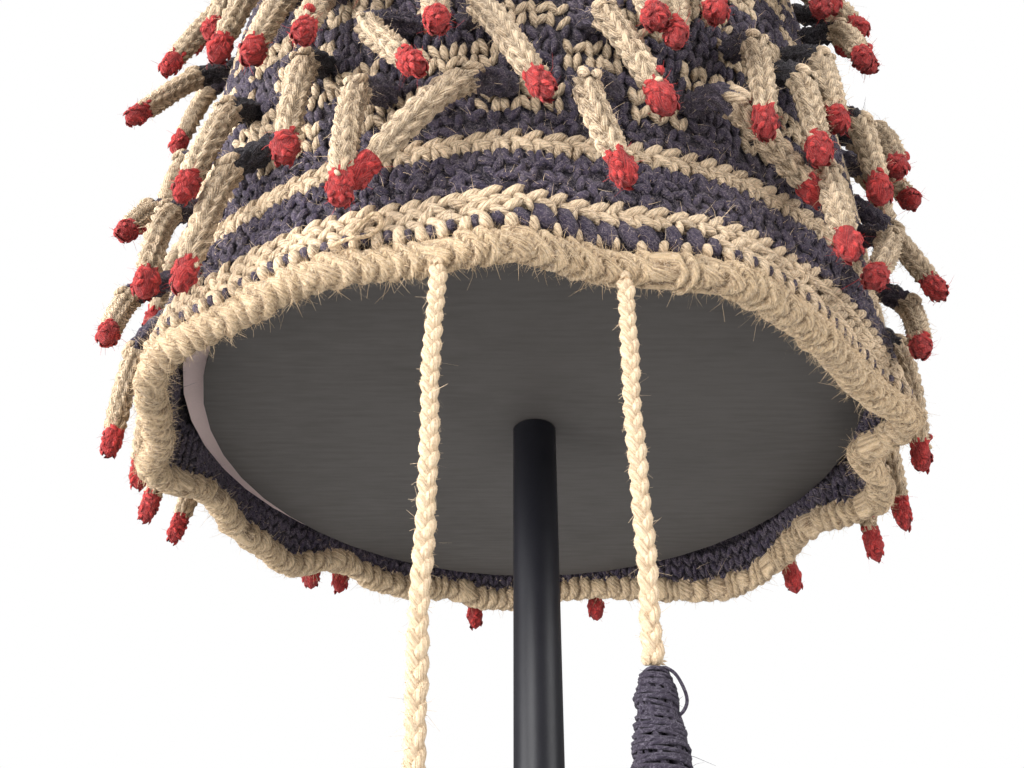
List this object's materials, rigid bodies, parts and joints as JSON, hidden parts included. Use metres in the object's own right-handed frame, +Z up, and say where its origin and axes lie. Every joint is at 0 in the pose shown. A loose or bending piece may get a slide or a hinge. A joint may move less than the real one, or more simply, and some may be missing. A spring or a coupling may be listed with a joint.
{
  "type": "prestige hat on a display stand",
  "caption": "Domed crocheted prestige hat with a rolled edge, hanging burls and two tasselled chin cords, on a plain round display stand.",
  "frame": {"origin": "middle of the stand's round base, on its underside, on the rod's axis", "axes": "+Z up along the rod; -Y towards the hat's front, where the two chin cords hang; +X to the right as seen from the front"},
  "size_m": [0.2327, 0.2407, 0.5133],
  "materials": {
    "black_steel": "satin black paint",
    "grey_plate": "matt dark grey painted board",
    "pale_board": "pale matt foam board",
    "navy_yarn": "crocheted matt cotton, faded navy with tan rows",
    "tan_yarn": "wound matt cotton, natural tan",
    "burl_yarn": "crocheted matt cotton, tan with navy roots and red tips",
    "cord_yarn": "plaited matt cotton, pale tan"
  },
  "bodies": {
    "root": {"stand_base": "black_steel", "stand_rod": "black_steel", "stand_plate": "grey_plate", "support_board": "pale_board", "crown_dome": "navy_yarn", "crown": "navy_yarn", "crown_band": "navy_yarn", "edge_roll": "tan_yarn", "burl_coat": "burl_yarn", "chin_cord_left": "cord_yarn", "chin_cord_right": "cord_yarn", "tassel_left": "navy_yarn", "tassel_right": "navy_yarn"}
  },
  "joints": []
}
